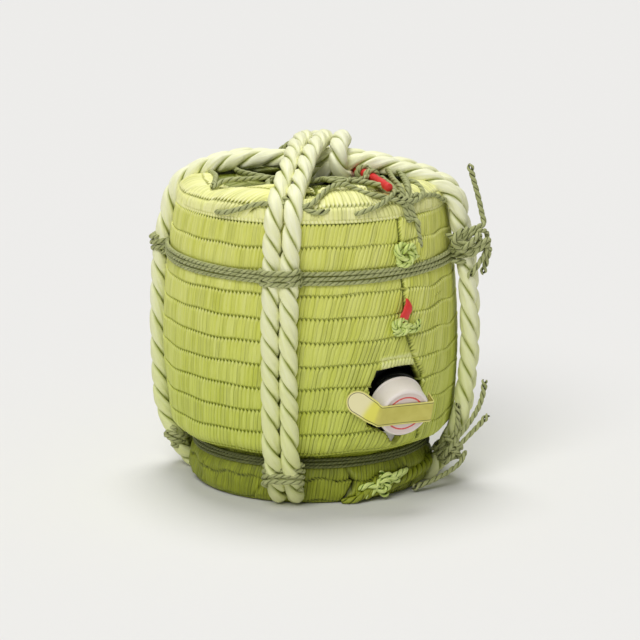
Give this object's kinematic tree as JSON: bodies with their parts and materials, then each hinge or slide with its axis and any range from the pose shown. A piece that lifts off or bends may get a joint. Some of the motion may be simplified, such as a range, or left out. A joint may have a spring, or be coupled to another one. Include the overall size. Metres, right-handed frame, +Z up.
{
  "type": "wrapped sake barrel",
  "caption": "Barrel-shaped black jar with a capped spout, wrapped in a woven rush mat and bound with doubled straw rope and twine.",
  "frame": {"origin": "middle of the base, on the surface the barrel stands on, on the barrel's own axis", "axes": "+Z up along the barrel's axis, -Y the spout's side, +X to the right when facing the spout"},
  "size_m": [0.177, 0.1941, 0.21],
  "materials": {
    "black_glaze": "glossy black glaze on stoneware",
    "black_plastic": "smooth glossy black plastic",
    "cap_plastic": "satin off-white plastic with a plain red ring printed on its face",
    "liner_foam": "soft white foam disc",
    "seal_paper": "yellow coated paper with a thin dark border line",
    "rush_mat": "bright green woven rush with stitched rows",
    "white_paper": "plain white paper",
    "straw_rope": "pale green laid straw rope",
    "twine": "olive laid straw twine",
    "red_plastic": "soft red plastic",
    "green_cord": "light green soft cord"
  },
  "bodies": {
    "barrel": {"jar": "black_glaze", "spout": "black_plastic", "mat": "rush_mat", "lining_paper": "white_paper", "rope_front_back": "straw_rope", "rope_side_to_side": "straw_rope", "upper_band": "twine", "lower_band": "twine", "upper_knot": "twine", "lower_knot": "twine", "top_lacing": "twine", "lacing_bundle": "twine", "red_tube": "red_plastic", "seam_tie_upper": "green_cord", "seam_tie_middle": "green_cord", "seam_tie_lower": "green_cord", "seam_tape": "red_plastic", "upper_hitch_front": "twine", "upper_hitch_right": "twine", "upper_hitch_back": "twine", "upper_hitch_left": "twine", "lower_hitch_front": "twine", "lower_hitch_right": "twine", "lower_hitch_back": "twine", "lower_hitch_left": "twine"},
    "cap": {"cap": "cap_plastic", "cap_liner": "liner_foam", "seal_strip": "seal_paper"}
  },
  "joints": [
    {"name": "cap_pull", "type": "slide", "parent": "barrel", "child": "cap", "axis": [-0.1966, -0.9249, -0.3256], "range_m": [0, 0.04]}
  ]
}
